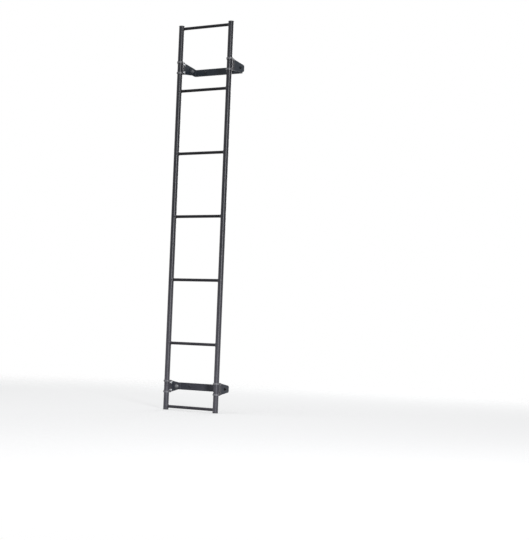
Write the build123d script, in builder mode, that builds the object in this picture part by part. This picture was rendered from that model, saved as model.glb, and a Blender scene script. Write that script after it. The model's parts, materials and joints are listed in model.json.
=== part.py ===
import os
from math import cos, radians, sin

from build123d import *

# Ladder of steel tube with welded rungs on two clamped brackets.
# Millimetres. Facing the rungs, +X is to the right, +Y points to the mounting side and +Z is up.
# The origin is the middle of the lower bracket's flat mounting face.

# Stiles and rungs
rung_count = 7
rung_pitch = 300.0
rung_diameter = 14.0
stile_spacing = 290.0
stile_diameter = 25.0
stile_wall = 2.0
stile_overhang = 12.0
cope_gap = 0.1

# End plugs of the stiles
plug_head = 3.5
plug_lip = 0.6
plug_edge_chamfer = 1.2
plug_depth = 14.0
plug_clearance = 0.1

# Places of the two brackets
lower_bracket_rise = 95.0
upper_bracket_drop = 186.0
lower_reach = 100.0
upper_reach = 120.0
upper_pivot_drop = 4.0
upper_bar_tilt = 8.0

# Strap clamps that wrap the stiles with a band at the top and the bottom
clamp_height = 59.0
clamp_band = 8.0
clamp_window_corner = 4.0
clamp_thickness = 3.0
clamp_bend_radius = 3.0
clamp_clearance = 0.1
clamp_bolt_hole = 6.6
clamp_bolt_setback = 11.0
clamp_bolt_edge = 11.5
clamp_tab_margin = 9.0
clamp_tab_corner = 6.0

# Tapered arms between the clamps and the door bars
arm_thickness = 5.0
arm_stile_height = 54.0
arm_door_height = 31.0
arm_stile_gap = 0.8
arm_door_setback = 3.0
arm_stile_corner = 4.0
arm_door_corner = 8.0

# Door bars, flat bar with both ends folded back
bar_height = 34.0
bar_thickness = 4.0
bar_bend_radius = 4.0
pivot_hole = 8.5
pivot_setback = 35.0
ear_margin = 15.0
ear_corner = 14.0
fixing_hole = 8.5
fixing_spacing = 160.0

# Worked out from the sizes above
stile_radius = stile_diameter / 2
stile_bore_radius = stile_radius - stile_wall
stile_y = -lower_reach
stile_side = {"left": -stile_spacing / 2, "right": stile_spacing / 2}
bottom_rung_z = -lower_bracket_rise
top_rung_z = bottom_rung_z + (rung_count - 1) * rung_pitch
stile_bottom_z = bottom_rung_z - stile_overhang
stile_top_z = top_rung_z + stile_overhang
clamp_bore_radius = stile_radius + clamp_clearance
clamp_outer_radius = clamp_bore_radius + clamp_thickness
clamp_bolt_y = stile_radius + clamp_bolt_setback
clamp_tab_end = clamp_bolt_y + clamp_tab_margin
clamp_bolt_spacing = clamp_height - 2 * clamp_bolt_edge
clamp_window = clamp_height - 2 * clamp_band
tab_span = arm_thickness + 2 * clamp_thickness
ear_outside = stile_spacing / 2 - arm_thickness / 2
ear_length = pivot_setback + ear_margin

# Each bracket: height of its clamps, reach from the stile axes to the middle of its mounting face,
# drop of its pivots below the clamps and lean of its door bar
brackets = {
    "lower": (0.0, lower_reach, 0.0, 0.0),
    "upper": (top_rung_z - upper_bracket_drop, upper_reach, upper_pivot_drop, upper_bar_tilt),
}


def side_plane(x, y, z):
    """Upright plane across the ladder: its x runs to the mounting side, its y runs up."""
    return Plane(origin=(x, y, z), x_dir=(0, 1, 0), z_dir=(1, 0, 0))


os.makedirs("parts", exist_ok=True)


# Stiles, plain round tube
for side, side_x in stile_side.items():
    with BuildPart() as stile:
        with BuildSketch(Plane((side_x, stile_y, stile_bottom_z))):
            Circle(stile_radius)
            Circle(stile_bore_radius, mode=Mode.SUBTRACT)
        extrude(amount=stile_top_z - stile_bottom_z)
    stile.part.label = f"{side}_stile"
    export_step(stile.part, f"parts/{side}_stile.step")


# Rungs, round bar with both ends coped to sit round the stiles
for number in range(1, rung_count + 1):
    rung_z = bottom_rung_z + (number - 1) * rung_pitch
    with BuildPart() as rung:
        with BuildSketch(side_plane(0, stile_y, rung_z)):
            Circle(rung_diameter / 2)
        extrude(amount=stile_spacing / 2, both=True)
        with Locations(*[(side_x, stile_y, rung_z) for side_x in stile_side.values()]):
            Cylinder(stile_radius + cope_gap, 2 * rung_diameter, mode=Mode.SUBTRACT)
    rung.part.label = f"rung_{number}"
    export_step(rung.part, f"parts/rung_{number}.step")


# End plugs, a bevelled head on a spigot that fits the stile's bore
for end, end_z, outward in (("bottom", stile_bottom_z, -1), ("top", stile_top_z, 1)):
    for side, side_x in stile_side.items():
        spigot_radius = stile_bore_radius - plug_clearance
        with BuildPart() as plug:
            axis_plane = Plane(origin=(side_x, stile_y, end_z), x_dir=(1, 0, 0), z_dir=(0, -outward, 0))
            with BuildSketch(axis_plane) as plug_half:
                with BuildLine():
                    Polyline(
                        (0, plug_head),
                        (stile_radius + plug_lip, plug_head),
                        (stile_radius + plug_lip, 0),
                        (spigot_radius, 0),
                        (spigot_radius, -plug_depth),
                        (0, -plug_depth),
                        close=True,
                    )
                make_face()
                rim = plug_half.vertices().sort_by_distance((stile_radius + plug_lip, plug_head))[0]
                chamfer(rim, length=plug_edge_chamfer)
            revolve(axis=Axis((side_x, stile_y, end_z), (0, 0, 1)))
        plug.part.label = f"{end}_{side}_plug"
        export_step(plug.part, f"parts/{end}_{side}_plug.step")


for bracket, (bracket_z, reach, pivot_drop, tilt) in brackets.items():
    lean = radians(tilt)
    pivot_reach = reach - pivot_setback * cos(lean)

    # Strap clamps, one strip bent round the stile, open in front between two bands, with two tabs on the arm
    for side, side_x in stile_side.items():
        with BuildPart() as clamp:
            with BuildSketch(Plane((side_x, stile_y, bracket_z - clamp_height / 2))) as strap:
                Circle(clamp_outer_radius)
                Rectangle(tab_span, clamp_tab_end, align=(Align.CENTER, Align.MIN))
                Circle(clamp_bore_radius, mode=Mode.SUBTRACT)
                Rectangle(arm_thickness, clamp_tab_end, align=(Align.CENTER, Align.MIN), mode=Mode.SUBTRACT)
                fillet(strap.vertices().group_by(Axis.Y)[1], radius=clamp_bend_radius)
                fillet(strap.vertices().group_by(Axis.Y)[0], radius=clamp_bend_radius + clamp_thickness)
            extrude(amount=clamp_height)
            with BuildSketch(side_plane(side_x, stile_y, bracket_z)) as window:
                Rectangle(2 * clamp_outer_radius, clamp_window, align=(Align.MAX, Align.CENTER))
                chamfer(window.vertices().group_by(Axis.X)[-1], length=clamp_window_corner)
            extrude(amount=2 * clamp_outer_radius, both=True, mode=Mode.SUBTRACT)
            tab_corners = clamp.edges().filter_by(Axis.X).group_by(Axis.Y)[-1]
            chamfer(tab_corners, length=clamp_tab_corner)
            with BuildSketch(side_plane(side_x, stile_y + clamp_bolt_y, bracket_z)):
                with GridLocations(0, clamp_bolt_spacing, 1, 2):
                    Circle(clamp_bolt_hole / 2)
            extrude(amount=tab_span, both=True, mode=Mode.SUBTRACT)
        clamp.part.label = f"{bracket}_{side}_clamp"
        export_step(clamp.part, f"parts/{bracket}_{side}_clamp.step")

    # Arms, flat plates that run straight along the clamp's tabs and then taper to the door bar
    for side, side_x in stile_side.items():
        arm_start = stile_radius + arm_stile_gap
        arm_end = reach - arm_door_setback
        with BuildPart() as arm:
            with BuildSketch(side_plane(side_x, stile_y, bracket_z)) as blank:
                with BuildLine():
                    Polyline(
                        (arm_start, -arm_stile_height / 2),
                        (clamp_tab_end, -arm_stile_height / 2),
                        (arm_end, -arm_door_height / 2 - pivot_drop),
                        (arm_end, arm_door_height / 2 - pivot_drop),
                        (clamp_tab_end, arm_stile_height / 2),
                        (arm_start, arm_stile_height / 2),
                        close=True,
                    )
                make_face()
                fillet(blank.vertices().group_by(Axis.X)[-1], radius=arm_door_corner)
                chamfer(blank.vertices().group_by(Axis.X)[0], length=arm_stile_corner)
                with Locations((clamp_bolt_y, 0)):
                    with GridLocations(0, clamp_bolt_spacing, 1, 2):
                        Circle(clamp_bolt_hole / 2, mode=Mode.SUBTRACT)
                with Locations((pivot_reach, -pivot_drop)):
                    Circle(pivot_hole / 2, mode=Mode.SUBTRACT)
            extrude(amount=arm_thickness / 2, both=True)
        arm.part.label = f"{bracket}_{side}_arm"
        export_step(arm.part, f"parts/{bracket}_{side}_arm.step")

    # Door bar, flat bar folded back at both ends into ears that are bolted inside the arms
    bar_plane = Plane(
        origin=(0, stile_y + pivot_reach, bracket_z - pivot_drop),
        x_dir=(1, 0, 0),
        z_dir=(0, sin(lean), cos(lean)),
    )
    with BuildPart() as bar:
        with BuildSketch(bar_plane.offset(-bar_height / 2)) as fold:
            with Locations((0, pivot_setback)):
                Rectangle(2 * ear_outside, ear_length, align=(Align.CENTER, Align.MAX))
            fillet(fold.vertices().group_by(Axis.Y)[-1], radius=bar_bend_radius + bar_thickness)
            with BuildSketch(mode=Mode.SUBTRACT) as inside:
                with Locations((0, pivot_setback - bar_thickness)):
                    Rectangle(2 * (ear_outside - bar_thickness), ear_length, align=(Align.CENTER, Align.MAX))
                fillet(inside.vertices().group_by(Axis.Y)[-1], radius=bar_bend_radius)
        extrude(amount=bar_height)
        to_door = Axis(bar_plane.origin, bar_plane.y_dir)
        ear_corners = bar.edges().filter_by(Axis.X).group_by(to_door)[0]
        fillet(ear_corners, radius=ear_corner)
        with BuildSketch(Plane(origin=bar_plane.origin, x_dir=bar_plane.y_dir, z_dir=(1, 0, 0))):
            Circle(pivot_hole / 2)
        extrude(amount=stile_spacing / 2, both=True, mode=Mode.SUBTRACT)
        door_face = bar_plane.from_local_coords((0, pivot_setback, 0))
        with BuildSketch(Plane(origin=door_face, x_dir=(1, 0, 0), z_dir=-bar_plane.y_dir)):
            with GridLocations(fixing_spacing, 0, 2, 1):
                Circle(fixing_hole / 2)
        extrude(amount=bar_thickness, mode=Mode.SUBTRACT)
    bar.part.label = f"{bracket}_door_bar"
    export_step(bar.part, f"parts/{bracket}_door_bar.step")
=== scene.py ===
import json
import math
from typing import NamedTuple

import bpy
import numpy as np
from mathutils import Matrix, Vector


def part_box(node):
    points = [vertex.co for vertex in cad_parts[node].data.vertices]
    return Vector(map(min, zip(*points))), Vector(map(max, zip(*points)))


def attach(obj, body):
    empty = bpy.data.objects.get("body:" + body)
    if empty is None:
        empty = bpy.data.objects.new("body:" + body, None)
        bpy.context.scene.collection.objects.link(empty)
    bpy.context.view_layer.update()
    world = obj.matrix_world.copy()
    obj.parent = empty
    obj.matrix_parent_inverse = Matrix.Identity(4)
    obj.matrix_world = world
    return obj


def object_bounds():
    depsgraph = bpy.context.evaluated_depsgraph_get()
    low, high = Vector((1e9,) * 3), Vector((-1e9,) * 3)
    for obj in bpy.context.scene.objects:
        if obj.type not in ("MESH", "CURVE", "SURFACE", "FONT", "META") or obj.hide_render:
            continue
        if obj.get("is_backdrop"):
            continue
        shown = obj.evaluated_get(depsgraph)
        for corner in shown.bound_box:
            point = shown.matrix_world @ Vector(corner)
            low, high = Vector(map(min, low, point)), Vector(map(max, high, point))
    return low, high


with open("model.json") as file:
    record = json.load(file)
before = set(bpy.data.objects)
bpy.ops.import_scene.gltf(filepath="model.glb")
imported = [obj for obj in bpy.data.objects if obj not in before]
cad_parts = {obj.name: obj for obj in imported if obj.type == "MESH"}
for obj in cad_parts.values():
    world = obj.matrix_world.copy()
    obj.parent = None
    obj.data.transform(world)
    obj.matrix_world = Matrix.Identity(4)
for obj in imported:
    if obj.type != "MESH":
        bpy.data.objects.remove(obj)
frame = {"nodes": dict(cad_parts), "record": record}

cad_low, cad_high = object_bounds()

# Ladder on two brackets: finishes, weld beads and fasteners around the solids, in metres.
# Facing the rungs, +X is to the right, +Y points to the mounting side and +Z runs up the stiles.

SIDES = {"left": -1.0, "right": 1.0}
BRACKETS = ("lower", "upper")
seeded = np.random.default_rng(7)

# Stiles, measured on the solids
stile_box = {side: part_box(f"{side}_stile") for side in SIDES}
stile_x = {side: (low.x + high.x) / 2 for side, (low, high) in stile_box.items()}
left_low, left_high = stile_box["left"]
stile_y = (left_low.y + left_high.y) / 2
stile_radius = (left_high.x - left_low.x) / 2

# Plates of the brackets, and the places of the fasteners on them
ARM_THICKNESS = 0.005
STRAP_THICKNESS = 0.003
BAR_THICKNESS = 0.004
CLAMP_BOLT_EDGE = 0.0115
TAB_MARGIN = 0.009
PIVOT_SETBACK = 0.035
FIXING_SPACING = 0.160


class BoltSize(NamedTuple):
    """Sizes of a button-head bolt, its washer and its lock nut."""

    radius: float
    pitch: float
    thread_length: float
    head_width: float
    head_height: float
    socket_flats: float
    socket_depth: float
    washer_radius: float
    washer_thickness: float
    nut_flats: float
    nut_height: float
    collar_height: float


M6 = BoltSize(
    radius=0.003, pitch=0.001, thread_length=0.0090,
    head_width=0.0105, head_height=0.0033, socket_flats=0.004, socket_depth=0.0020,
    washer_radius=0.0056, washer_thickness=0.0012,
    nut_flats=0.010, nut_height=0.0042, collar_height=0.0018,
)
M8 = BoltSize(
    radius=0.004, pitch=0.00125, thread_length=0.0125,
    head_width=0.0140, head_height=0.0044, socket_flats=0.005, socket_depth=0.0026,
    washer_radius=0.0090, washer_thickness=0.0018,
    nut_flats=0.013, nut_height=0.0056, collar_height=0.0024,
)

# Small gaps and edges of the bolts, and the steps of their surfaces
WASHER_ROOM = 0.0002
THREAD_ROOM = 0.00005
COLLAR_ROOM = 0.0004
SOFT_EDGE = 0.0002
BOLT_COLUMNS = 72
THREAD_ROWS = 8
TRIM_ROWS = 3
COLLAR_ROWS = 6
DOME_ROWS = 9
SHARP_ANGLE = math.radians(35)

# Forms of the bolts, as shares of their own sizes, and the angles where the dome starts and stops
WASHER_SOFT = 0.15
NUT_TRIM = 0.049
NUT_END = 0.475
COLLAR_FOOT = 0.44
COLLAR_LIP = 0.3
THREAD_DEPTH = 0.6
TIP_NARROWING = 0.18
SOCKET_FLOOR = 0.55
SOCKET_POINT = 1.15
DOME_START = 0.12
DOME_STOP = math.pi / 2 - 0.52

# Weld beads, with their unevenness as shares of the leg
WELD_LEG = 0.0028
WELD_WANDER = 0.07
WELD_FINE_WANDER = 0.05
WELD_RIPPLES = 24
WELD_RIPPLE = 0.10
WELD_SWELL = 0.22
WELD_RIPPLE_SWELL = 1.6
WELD_SINK = 0.25
WELD_COLUMNS = 144
WELD_ROWS = 7
WELD_SHARP_ANGLE = math.radians(60)

# Wear, dust, and painted light from the ground that grows towards the foot
BARE_EDGE = (0.30, 0.30, 0.31)
SCUFFED_GREY = (0.17, 0.17, 0.175)
RUBBED_AND_GROUND_LIT_GREY = (0.25, 0.25, 0.26)
DUST_AND_GROUND_LIGHT_GREY = (0.198, 0.188, 0.222)
EDGE_RADIUS = 0.0012
BAND_FRONT = stile_y - 0.004
BAND_BACK = stile_y + 0.002
GROUND_LIGHT_FOOT = -0.30
GROUND_LIGHT_TOP = 0.95

# Floor, surroundings and camera, which stands to the right of the rungs and looks slightly up
FLOOR_DROP = 0.0002
FLOOR_HALF = 9.0
FLOOR_CLEAR = 1.6
FLOOR_FADE = 4.5
FLOOR_SEEN = (0.52, 0.52, 0.52)
FLOOR_BOUNCE = (0.35, 0.35, 0.36)
FLOOR_GLOW = 0.50
WORLD_LIGHT = 0.16
BLACK = (0.0, 0.0, 0.0)
WHITE = (1.0, 1.0, 1.0)
CAMERA_PLACE = Vector((4.2397, -5.7381, 0.2814))
CAMERA_FORWARD = Vector((-0.56349, 0.82514, 0.04023))
CAMERA_UP = Vector((-0.01009, -0.05557, 0.99840))
CAMERA_LENS = 100.0
CAMERA_SENSOR = 36.0


# Shader maths

class Wire:
    """A node's output. Arithmetic on it adds Math nodes to its tree."""

    def __init__(self, tree, socket):
        self.tree = tree
        self.socket = socket

    def math(self, operation, *terms):
        """One Math node fed by the terms in order."""
        node = self.tree.nodes.new("ShaderNodeMath")
        node.operation = operation
        for slot, term in enumerate(terms):
            feed(self.tree, node.inputs[slot], term)
        return Wire(self.tree, node.outputs[0])

    def __add__(self, other):
        return self.math("ADD", self, other)

    def __radd__(self, other):
        return self.math("ADD", other, self)

    def __sub__(self, other):
        return self.math("SUBTRACT", self, other)

    def __rsub__(self, other):
        return self.math("SUBTRACT", other, self)

    def __mul__(self, other):
        return self.math("MULTIPLY", self, other)

    def __rmul__(self, other):
        return self.math("MULTIPLY", other, self)


def feed(tree, socket, value):
    """Links a wire to a socket, or sets the socket's own value."""
    if isinstance(value, Wire):
        tree.links.new(value.socket, socket)
    else:
        socket.default_value = value


class Shading:
    """A tree of shader nodes."""

    def __init__(self, tree):
        self.tree = tree

    def node(self, kind, settings=None, inputs=None, output=0):
        """Adds a node, sets its settings first and then its sockets, and returns one output."""
        node = self.tree.nodes.new(kind)
        for key, value in (settings or {}).items():
            setattr(node, key, value)
        for key, value in (inputs or {}).items():
            feed(self.tree, node.inputs[key], value)
        return Wire(self.tree, node.outputs[output])

    def rays_seen(self):
        """1 for rays from the camera, a reflection or a see-through surface, 0 for the rest."""
        camera = self.node("ShaderNodeLightPath", output="Is Camera Ray")
        glossy = self.node("ShaderNodeLightPath", output="Is Glossy Ray")
        through = self.node("ShaderNodeLightPath", output="Is Transmission Ray")
        return camera.math("MINIMUM", camera + glossy + through, 1.0)


class Finish(Shading):
    """One material with a Principled shader, and the nodes that vary it."""

    def __init__(self, name):
        self.material = bpy.data.materials.new(name)
        self.material.use_nodes = True
        super().__init__(self.material.node_tree)
        self.shader = self.tree.nodes["Principled BSDF"]

    def place(self):
        """Object coordinates, in metres."""
        return self.node("ShaderNodeTexCoord", output="Object")

    def along(self, axis):
        """One of the Object coordinates, in metres."""
        return self.node("ShaderNodeSeparateXYZ", inputs={0: self.place()}, output=axis)

    def upward(self):
        """How far a surface faces up, from -1 to 1."""
        normal = self.node("ShaderNodeNewGeometry", output="Normal")
        return self.node("ShaderNodeSeparateXYZ", inputs={0: normal}, output="Z")

    def noise(self, scale, detail=2.0, roughness=0.5, vector=None):
        """Noise from 0 to 1 with about that many features a metre."""
        inputs = {"Vector": vector or self.place(), "Scale": scale, "Detail": detail, "Roughness": roughness}
        return self.node("ShaderNodeTexNoise", inputs=inputs, output="Fac")

    def step(self, value, low, high):
        """Smooth step of a value from 0 at low to 1 at high."""
        inputs = {"Value": value, "From Min": low, "From Max": high}
        return self.node("ShaderNodeMapRange", {"interpolation_type": "SMOOTHSTEP"}, inputs)

    def blend(self, share, first, second):
        """Mix of two colours by a share from 0 to 1. A colour is a wire, or its red, green and blue."""
        start, end = (colour if isinstance(colour, Wire) else (*colour, 1.0) for colour in (first, second))
        return self.node("ShaderNodeMix", {"data_type": "RGBA"}, {0: share, 6: start, 7: end}, output=2)

    def bump(self, height, distance, strength):
        """Bump from a height between 0 and 1, as deep as distance in metres."""
        inputs = {"Strength": strength, "Distance": distance, "Height": height}
        return self.node("ShaderNodeBump", inputs=inputs)

    def worn_edges(self, radius):
        """Share from 0 to 1 near a sharp edge, by how far a rounded normal leaves the true one."""
        rounded = self.node("ShaderNodeBevel", {"samples": 6}, {"Radius": radius})
        true = self.node("ShaderNodeNewGeometry", output="Normal")
        inputs = {0: rounded, 1: true}
        match = self.node("ShaderNodeVectorMath", {"operation": "DOT_PRODUCT"}, inputs, output="Value")
        return self.step(1.0 - match, 0.01, 0.16)

    def set(self, **values):
        """Feeds the shader's sockets, named with underscores for spaces."""
        for key, value in values.items():
            feed(self.tree, self.shader.inputs[key.replace("_", " ")], value)
        return self.material


# Finishes, with colours as linear red, green and blue

def powder_coat(name, colour, worn_colour, gloss, ground_light_share, tread=False, bands=False):
    """Satin powder coat: fine orange peel, faint mottling, worn edges, dust and painted light from the
    ground.

    Treads have boot scuffs on top. The clamps' bands are rubbed thin in front of the stiles, and are lighter
    still near the foot as painted light from the ground. Dust lies on what faces up, and a film that
    thickens towards the foot is painted light from the ground.
    """
    coat = Finish(name)
    low_down = 1.0 - coat.step(coat.along("Z"), GROUND_LIGHT_FOOT, GROUND_LIGHT_TOP)

    # Mottled paint, chipped along sharp edges
    mottle = coat.noise(38.0, detail=4.0, roughness=0.6)
    tint = coat.blend(coat.step(mottle, 0.3, 0.7), colour, worn_colour)
    chips = coat.step(coat.noise(210.0, detail=5.0, roughness=0.7), 0.30, 0.55)
    edges = coat.worn_edges(EDGE_RADIUS) * chips
    tint = coat.blend(edges * 0.55, tint, BARE_EDGE)
    rough = 0.25 + mottle * 0.09 - edges * 0.04

    # Scuffs, drawn out along the rungs
    if tread:
        drawn_out = {"Vector": coat.place(), "Scale": (0.35, 1.0, 1.0)}
        stretched = coat.node("ShaderNodeMapping", inputs=drawn_out)
        scratches = coat.step(coat.noise(420.0, detail=6.0, roughness=0.7, vector=stretched), 0.57, 0.70)
        scuff = scratches * coat.step(coat.upward(), 0.1, 0.8)
        tint = coat.blend(scuff * 0.35, tint, SCUFFED_GREY)
        rough = rough - scuff * 0.06

    # Rubbed patches on the bands, lighter still towards the foot as painted light from the ground
    if bands:
        in_front = 1.0 - coat.step(coat.along("Y"), BAND_FRONT, BAND_BACK)
        patches = coat.step(coat.noise(190.0, detail=6.0, roughness=0.7), 0.36, 0.60)
        # The share that grows towards the foot is painted light from the ground
        rubbed_and_ground_lit = in_front * (0.25 + patches * 0.45) * (0.62 + low_down * 0.62)
        tint = coat.blend(rubbed_and_ground_lit, tint, RUBBED_AND_GROUND_LIT_GREY)
        rough = rough + rubbed_and_ground_lit * 0.08

    # Dust that settled on top, and a lighter film low down that is painted light from the ground
    specks = coat.step(coat.noise(1500.0, detail=3.0, roughness=0.6), 0.38, 0.66)
    drift = coat.noise(30.0, detail=5.0, roughness=0.6)
    settled = coat.step(coat.upward(), 0.35, 0.95) * specks
    # This film paints light from the bright ground, so it is lighter towards the foot
    painted_ground_light = low_down * (0.30 + specks * 0.30 + drift * 0.84)
    dust_and_ground_light = settled * 0.18 + painted_ground_light * ground_light_share
    tint = coat.blend(dust_and_ground_light, tint, DUST_AND_GROUND_LIGHT_GREY)

    peel = coat.noise(1300.0) * 0.7 + coat.noise(3600.0, detail=1.0) * 0.3
    return coat.set(
        Base_Color=tint,
        Roughness=rough + dust_and_ground_light * 0.14,
        Specular_IOR_Level=gloss,
        Normal=coat.bump(peel, distance=0.00003, strength=0.9),
    )


def moulded_plastic(name, colour, worn_colour):
    """Black moulded plastic: fine spark texture and a little greying."""
    plastic = Finish(name)
    mottle = plastic.noise(120.0, detail=4.0, roughness=0.6)
    spark = plastic.noise(3200.0, detail=1.0)
    return plastic.set(
        Base_Color=plastic.blend(plastic.step(mottle, 0.35, 0.75), colour, worn_colour),
        Roughness=0.5 + mottle * 0.15,
        Normal=plastic.bump(spark, distance=0.00004, strength=0.5),
    )


def metal_plate(name, colour, clouded_colour, rough, metal):
    """Plated steel: cool metal with soft clouding and fine tool marks."""
    plate = Finish(name)
    cloud = plate.noise(260.0, detail=4.0, roughness=0.6)
    marks = plate.noise(2400.0, detail=3.0)
    return plate.set(
        Base_Color=plate.blend(plate.step(cloud, 0.3, 0.7), colour, clouded_colour),
        Metallic=metal,
        Roughness=rough + cloud * 0.22,
        Normal=plate.bump(marks, distance=0.00003, strength=0.4),
    )


def blackened_steel(name, colour, bare_colour):
    """Black oxide bolts: dark, slightly glossy, with small bare points."""
    black = Finish(name)
    cloud = black.noise(300.0, detail=4.0, roughness=0.6)
    marks = black.noise(2000.0)
    return black.set(
        Base_Color=black.blend(black.step(cloud, 0.45, 0.8), colour, bare_colour),
        Roughness=0.40 + cloud * 0.18,
        Specular_IOR_Level=0.15,
        Normal=black.bump(marks, distance=0.00003, strength=0.4),
    )


# Each coat's last number is its share of the painted light from the ground, set by how lit or shaded the
# part looks; the arms get least, as painted shade
finishes = {
    "stile_coat": powder_coat("stile_coat", (0.008, 0.0085, 0.013), (0.012, 0.0125, 0.017),
                              gloss=0.31, ground_light_share=0.44),
    "rung_coat": powder_coat("rung_coat", (0.008, 0.008, 0.010), (0.013, 0.013, 0.015),
                             gloss=0.12, ground_light_share=0.28, tread=True),
    "clamp_coat": powder_coat("clamp_coat", (0.013, 0.0135, 0.019), (0.019, 0.0195, 0.025),
                              gloss=0.48, ground_light_share=0.28, bands=True),
    # The arm and bar coats are tinted blue as a painted reflection of blue sky
    "arm_coat": powder_coat("arm_coat", (0.017, 0.024, 0.034), (0.023, 0.030, 0.040),
                            gloss=0.20, ground_light_share=0.20),
    "bar_coat": powder_coat("bar_coat", (0.019, 0.024, 0.031), (0.026, 0.031, 0.038),
                            gloss=0.16, ground_light_share=0.34),
    "plug_plastic": moulded_plastic("plug_plastic", (0.012, 0.012, 0.013), (0.024, 0.024, 0.026)),
}
zinc_finish = metal_plate("zinc_plate", (0.74, 0.75, 0.76), (0.58, 0.59, 0.61), rough=0.26, metal=1.0)
# All pivot nuts are one dull zinc; the upper copy is painted darker, as painted shade
pivot_nut_finish = {
    "lower": metal_plate("dull_zinc", (0.32, 0.325, 0.335), (0.23, 0.235, 0.245), rough=0.42, metal=0.25),
    "upper": metal_plate("zinc_painted_shade", (0.12, 0.125, 0.135), (0.08, 0.085, 0.095), rough=0.42, metal=0.25),
}
black_finish = blackened_steel("blackened_steel", (0.004, 0.004, 0.005), (0.012, 0.012, 0.013))
screw_finish = powder_coat("screw_coat", (0.013, 0.016, 0.021), (0.020, 0.024, 0.029),
                           gloss=0.12, ground_light_share=0.24)


# Surfaces

def wrapped(grid):
    """Faces of a grid of points that closes on itself both ways, as a ring does."""
    rows, columns = grid.shape[:2]
    here = np.arange(rows * columns).reshape(rows, columns)
    right = np.roll(here, -1, axis=1)
    up = np.roll(here, -1, axis=0)
    both = np.roll(right, -1, axis=0)
    quads = np.stack([here, right, both, up], axis=-1).reshape(-1, 4)
    return grid.reshape(-1, 3), quads, np.empty((0, 3), int)


def capped(grid):
    """Faces of a grid that closes round its columns and ends in a middle point at its first and last row."""
    rows, columns = grid.shape[:2]
    here = np.arange(rows * columns).reshape(rows, columns)
    right = np.roll(here, -1, axis=1)
    points = np.vstack([grid.reshape(-1, 3), grid[0].mean(0), grid[-1].mean(0)])
    quads = np.stack([here[:-1], right[:-1], right[1:], here[1:]], axis=-1).reshape(-1, 4)
    first = np.stack([np.full(columns, rows * columns), right[0], here[0]], axis=-1)
    last = np.stack([np.full(columns, rows * columns + 1), here[-1], right[-1]], axis=-1)
    return points, quads, np.vstack([first, last])


def outward(points, quads, triangles):
    """The same surface with its faces turned outwards, by the sign of its volume."""
    halves = np.vstack([quads[:, [0, 1, 2]], quads[:, [0, 2, 3]], triangles])
    a, b, c = points[halves[:, 0]], points[halves[:, 1]], points[halves[:, 2]]
    if np.einsum("ij,ij->i", a - points.mean(0), np.cross(b - a, c - a)).sum() < 0:
        return points, quads[:, ::-1], triangles[:, ::-1]
    return points, quads, triangles


def make_piece(name, surfaces, finish, sharp=SHARP_ANGLE):
    """One mesh from several closed surfaces, riding on the ladder."""
    points, faces, start = [], [], 0
    for surface in surfaces:
        spots, quads, triangles = outward(*surface)
        points.append(spots)
        faces += (quads + start).tolist() + (triangles + start).tolist()
        start += len(spots)
    mesh = bpy.data.meshes.new(name)
    mesh.from_pydata(np.vstack(points).tolist(), [], faces)
    mesh.polygons.foreach_set("use_smooth", np.ones(len(mesh.polygons), bool))
    mesh.set_sharp_from_angle(angle=sharp)
    mesh.materials.append(finish)
    piece = bpy.data.objects.new(name, mesh)
    bpy.context.scene.collection.objects.link(piece)
    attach(piece, "root")


def around_axis(radius, height, base, axis):
    """Points at a radius and height round an axis, which may lean but not stand upright.

    Each is the base + its height along the axis + its radius across it. radius and height are grids with
    one row a step of the profile and one column a step round.
    """
    axis = np.asarray(axis, float)
    across = np.cross(axis, (0.0, 0.0, 1.0))
    across /= np.linalg.norm(across)
    other = np.cross(axis, across)
    turn = np.linspace(0, 2 * np.pi, radius.shape[1], endpoint=False)
    ring = np.cos(turn)[:, None] * across + np.sin(turn)[:, None] * other
    return np.asarray(base, float) + height[..., None] * axis + radius[..., None] * ring


def hexagon(across_flats):
    """Radius of a hexagon at each step round: half the flats over the cosine from the nearest flat."""
    turn = np.linspace(0, 2 * np.pi, BOLT_COLUMNS, endpoint=False)
    return across_flats / 2 / np.cos((turn + np.pi / 6) % (np.pi / 3) - np.pi / 6)


def same_round(values):
    """Grid with one row a value, the same all round."""
    return np.repeat(np.asarray(values, float)[:, None], BOLT_COLUMNS, axis=1)


def round_rows(profile):
    """Radius and height grids of a round profile given as (radius, height) pairs."""
    radii, heights = zip(*profile)
    return same_round(radii), same_round(heights)


def washer(base, axis, bolt):
    """Flat ring: a rectangle with softened corners turned round the axis."""
    bore = bolt.radius + WASHER_ROOM
    outer = bolt.washer_radius
    thick = bolt.washer_thickness
    soft = WASHER_SOFT * thick
    profile = [(bore, soft), (bore, thick - soft), (bore + soft, thick), (outer - soft, thick),
               (outer, thick - soft), (outer, soft), (outer - soft, 0.0), (bore + soft, 0.0)]
    return wrapped(around_axis(*round_rows(profile), base, axis))


def lock_nut(base, axis, bolt):
    """Hexagon trimmed by a cone at both ends, with a rounded collar that closes on the thread.

    Each row of the hexagon takes the smaller of its own radius and the cone's, which widens from the end
    by the root of three for each step along. The collar is a quarter of an ellipse, and behind it the
    profile runs back down the bore.
    """
    bore, flats, top = bolt.radius, bolt.nut_flats, bolt.nut_height
    trim = np.linspace(0, NUT_TRIM * flats, TRIM_ROWS)
    levels = np.concatenate([trim, top - trim[::-1]])
    cone = NUT_END * flats + np.minimum(levels, top - levels) * math.sqrt(3)
    body = np.minimum(hexagon(flats)[None, :], cone[:, None])

    curl = np.linspace(0, np.pi / 2, COLLAR_ROWS)
    collar_mouth = bore + COLLAR_ROOM
    collar_radius = collar_mouth + (COLLAR_FOOT * flats - collar_mouth) * np.cos(curl)
    collar_rise = top + bolt.collar_height * np.sin(curl)
    down_bore = [(bore, top + COLLAR_LIP * bolt.collar_height), (bore, 0.0)]
    crown_radius, crown_height = round_rows(list(zip(collar_radius, collar_rise)) + down_bore)

    radius = np.vstack([body, crown_radius])
    height = np.vstack([same_round(levels), crown_height])
    return wrapped(around_axis(radius, height, base, axis))


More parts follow.
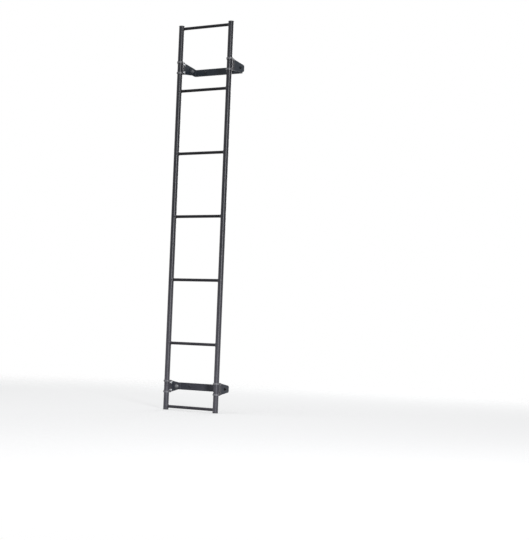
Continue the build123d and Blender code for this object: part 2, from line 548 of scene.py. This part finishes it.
def threaded_end(base, axis, bolt):
    """Bolt end: a cylinder whose radius dips in a helix of the bolt's pitch, with a small chamfer."""
    length, pitch = bolt.thread_length, bolt.pitch
    rise = np.linspace(0, length, int(length / pitch * THREAD_ROWS))
    turn = np.linspace(0, 1, BOLT_COLUMNS, endpoint=False)
    phase = (rise[:, None] / pitch - turn[None, :]) % 1.0
    dip = THREAD_DEPTH * pitch * np.abs(2 * phase - 1)
    chamfer = np.minimum(1.0, 1.0 - TIP_NARROWING + TIP_NARROWING * (length - rise) / pitch)
    radius = (bolt.radius - THREAD_ROOM - dip) * chamfer[:, None]
    return capped(around_axis(radius, same_round(rise), base, axis))


def button_head(base, axis, bolt, shank_length):
    """Low domed head with a hexagon socket, and the plain shank behind it.

    The profile runs from the shank's end to the seat, over a dome that is an arc of an ellipse,
    and down the socket, whose rows take the hexagon's radius.
    """
    rim, top = bolt.head_width / 2, bolt.head_height
    dome = np.linspace(DOME_START, DOME_STOP, DOME_ROWS)
    profile = [(bolt.radius, -shank_length), (bolt.radius, 0.0), (rim - SOFT_EDGE, 0.0)]
    profile += list(zip(rim * np.cos(dome), top * np.sin(dome) / math.sin(dome[-1])))
    outer_radius, outer_rise = round_rows(profile)

    wall = hexagon(bolt.socket_flats)
    socket_radius = np.stack([wall + SOFT_EDGE, wall, wall, SOCKET_FLOOR * wall])
    socket_rise = top - np.array([0.0, SOFT_EDGE, bolt.socket_depth, SOCKET_POINT * bolt.socket_depth])

    radius = np.vstack([outer_radius, socket_radius])
    rise = np.vstack([outer_rise, same_round(socket_rise)])
    return capped(around_axis(radius, rise, base, axis))


def weld_bead(joint_x, sign, rung_y, rung_z, rung_radius):
    """Fillet bead on the saddle where a rung meets a stile.

    Round the rung at angle t, the root lies on both tubes. The bead runs in a swollen line from a point
    one leg along the rung to a point one leg out on the stile, and its leg wanders and ripples round
    the joint.
    """
    turn = np.linspace(0, 2 * np.pi, WELD_COLUMNS, endpoint=False)
    start = seeded.uniform(0, 2 * np.pi)
    wander = WELD_WANDER * np.sin(3 * turn + start) + WELD_FINE_WANDER * np.sin(5 * turn + 2 * start)
    ripple = WELD_RIPPLE * (np.abs(np.sin(WELD_RIPPLES / 2 * turn + start)) - 0.5)
    legs = WELD_LEG * (1 + wander + ripple)

    def on_stile(reach):
        """Points on the stile at a distance from the rung's axis."""
        y, z = reach * np.cos(turn), reach * np.sin(turn)
        x = joint_x - sign * np.sqrt(stile_radius ** 2 - y ** 2)
        return np.stack([x, rung_y + y, rung_z + z], axis=-1)

    root = on_stile(np.full(WELD_COLUMNS, rung_radius))
    along_rung = root - np.stack([sign * legs, 0 * legs, 0 * legs], axis=-1)
    out_on_stile = on_stile(rung_radius + legs)
    middle = (along_rung + out_on_stile) / 2 - root
    bulge = WELD_SWELL * legs * (1 + WELD_RIPPLE_SWELL * ripple)
    swell = middle / np.linalg.norm(middle, axis=1, keepdims=True) * bulge[:, None]
    share = np.linspace(0, 1, WELD_ROWS)[:, None, None]
    face = (1 - share) * along_rung + share * out_on_stile + np.sin(np.pi * share) * swell
    under = root - WELD_SINK * middle
    return wrapped(np.concatenate([face, under[None]], axis=0))


# Weld beads round both ends of each rung
for rung in sorted(name for name in frame["nodes"] if name.startswith("rung_")):
    low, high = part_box(rung)
    middle = (low + high) / 2
    rung_radius = (high.z - low.z) / 2
    beads = [weld_bead(stile_x[side], sign, middle.y, middle.z, rung_radius) for side, sign in SIDES.items()]
    make_piece(f"{rung}_welds", beads, finishes["stile_coat"], WELD_SHARP_ANGLE)


# Clamp bolts, pivot bolts and door screws
mounts = {mount["name"]: mount for mount in frame["record"]["mounts"]}
tab_half = ARM_THICKNESS / 2 + STRAP_THICKNESS
for bracket in BRACKETS:
    door_face = np.array(mounts[f"{bracket}_door_face"]["pos_m"])
    to_door = np.array(mounts[f"{bracket}_door_face"]["axis"])
    _, pivot_y, pivot_z = door_face - PIVOT_SETBACK * to_door
    for side, sign in SIDES.items():
        to_middle, to_outside = (-sign, 0, 0), (sign, 0, 0)
        clamp_low, clamp_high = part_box(f"{bracket}_{side}_clamp")
        bolt_y = clamp_high.y - TAB_MARGIN
        bolts, nuts = [], []
        for bolt_z in (clamp_low.z + CLAMP_BOLT_EDGE, clamp_high.z - CLAMP_BOLT_EDGE):
            tab_out = (stile_x[side] + sign * tab_half, bolt_y, bolt_z)
            tab_in = (stile_x[side] - sign * tab_half, bolt_y, bolt_z)
            on_washer = (tab_in[0] - sign * M6.washer_thickness, bolt_y, bolt_z)
            bolts.append(button_head(tab_out, to_outside, M6, 2 * tab_half))
            bolts.append(threaded_end(tab_in, to_middle, M6))
            nuts.append(washer(tab_in, to_middle, M6))
            nuts.append(lock_nut(on_washer, to_middle, M6))
        make_piece(f"{bracket}_{side}_clamp_bolts", bolts, finishes["clamp_coat"])
        make_piece(f"{bracket}_{side}_clamp_nuts", nuts, zinc_finish)

        arm_out = (stile_x[side] + sign * ARM_THICKNESS / 2, pivot_y, pivot_z)
        ear_in = (stile_x[side] - sign * (ARM_THICKNESS / 2 + BAR_THICKNESS), pivot_y, pivot_z)
        on_washer = (ear_in[0] - sign * M8.washer_thickness, pivot_y, pivot_z)
        head = button_head(arm_out, to_outside, M8, ARM_THICKNESS + BAR_THICKNESS)
        nut = [
            washer(ear_in, to_middle, M8),
            lock_nut(on_washer, to_middle, M8),
            threaded_end(ear_in, to_middle, M8),
        ]
        make_piece(f"{bracket}_{side}_pivot_bolt", [head], black_finish)
        make_piece(f"{bracket}_{side}_pivot_nut", nut, pivot_nut_finish[bracket])

    bar_front = door_face - BAR_THICKNESS * to_door
    seats = [bar_front + (sign * FIXING_SPACING / 2, 0, 0) for sign in SIDES.values()]
    screws = [button_head(seat, -to_door, M8, BAR_THICKNESS) for seat in seats]
    make_piece(f"{bracket}_door_screws", screws, screw_finish)


# Finishes of the solids
for part in frame["record"]["subparts"]:
    frame["nodes"][part["node"]].material_slots[0].material = finishes[part["material_slot"]]


# Stage: pale floor under the ladder, white surroundings, soft lamps and the camera

def pale_floor():
    """Flat floor that looks near white, keeps the shadow and fades into the surroundings further out."""
    half, z = FLOOR_HALF, cad_low[2] - FLOOR_DROP
    corners = [(-half, -half, z), (half, -half, z), (half, half, z), (-half, half, z)]
    mesh = bpy.data.meshes.new("floor")
    mesh.from_pydata(corners, [], [(0, 1, 2, 3)])
    floor = bpy.data.objects.new("floor", mesh)
    bpy.context.scene.collection.objects.link(floor)
    paint = Finish("floor_paint")
    seen = paint.rays_seen()
    level = {0: paint.place(), 1: (1.0, 1.0, 0.0)}
    flat = paint.node("ShaderNodeVectorMath", {"operation": "MULTIPLY"}, level)
    distance = paint.node("ShaderNodeVectorMath", {"operation": "LENGTH"}, {0: flat}, output="Value")
    paint.set(
        Base_Color=paint.blend(seen, FLOOR_BOUNCE, FLOOR_SEEN),
        Roughness=0.9,
        Specular_IOR_Level=0.0,
        Emission_Color=paint.blend(seen, BLACK, WHITE),
        Emission_Strength=FLOOR_GLOW,
        Alpha=1.0 - paint.step(distance, FLOOR_CLEAR, FLOOR_FADE),
    )
    mesh.materials.append(paint.material)
    floor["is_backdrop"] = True


def white_surroundings():
    """World that looks white to the camera and in reflections, and lights the ladder at a plain level."""
    world = bpy.data.worlds.new("surroundings")
    world.use_nodes = True
    sky = Shading(world.node_tree)
    background = sky.tree.nodes["Background"]
    feed(sky.tree, background.inputs["Color"], (*WHITE, 1.0))
    feed(sky.tree, background.inputs["Strength"], WORLD_LIGHT + sky.rays_seen() * (1.0 - WORLD_LIGHT))
    bpy.context.scene.world = world


def soft_lamp(name, place, aim, size, watts, colour):
    """Rectangular area lamp, as wide and tall as size says, that faces a point of the ladder."""
    data = bpy.data.lights.new(name, "AREA")
    data.shape = "RECTANGLE"
    data.size, data.size_y = size
    data.energy = watts
    data.color = colour
    lamp = bpy.data.objects.new(name, data)
    lamp.location = place
    lamp.rotation_euler = (Vector(aim) - Vector(place)).to_track_quat("-Z", "Y").to_euler()
    bpy.context.scene.collection.objects.link(lamp)


def aim_camera():
    """Camera with its right, up and backward axes as columns of its matrix."""
    data = bpy.data.cameras.new("camera")
    data.lens = CAMERA_LENS
    data.sensor_width = CAMERA_SENSOR
    camera = bpy.data.objects.new("camera", data)
    forward = CAMERA_FORWARD.normalized()
    right = forward.cross(CAMERA_UP).normalized()
    up = right.cross(forward)
    axes = Matrix((right, up, -forward)).transposed().to_4x4()
    camera.matrix_world = Matrix.Translation(CAMERA_PLACE) @ axes
    bpy.context.scene.collection.objects.link(camera)
    bpy.context.scene.camera = camera


upper_half = (0.0, stile_y, 1.1)
ladder_middle = (0.0, stile_y, (cad_low[2] + cad_high[2]) / 2)
pale_floor()
white_surroundings()
soft_lamp("key", (4.7, -4.0, 1.3), upper_half, size=(0.7, 3.4), watts=290.0, colour=(0.965, 0.975, 1.0))
soft_lamp("top", (-0.6, -2.4, 6.0), ladder_middle, size=(3.5, 3.5), watts=150.0, colour=(0.97, 0.98, 1.0))
soft_lamp("back", (-1.2, 5.0, 2.6), ladder_middle, size=(3.0, 3.0), watts=130.0, colour=(0.98, 0.99, 1.0))
aim_camera()
bpy.context.scene.view_settings.view_transform = "Standard"

low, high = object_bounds()
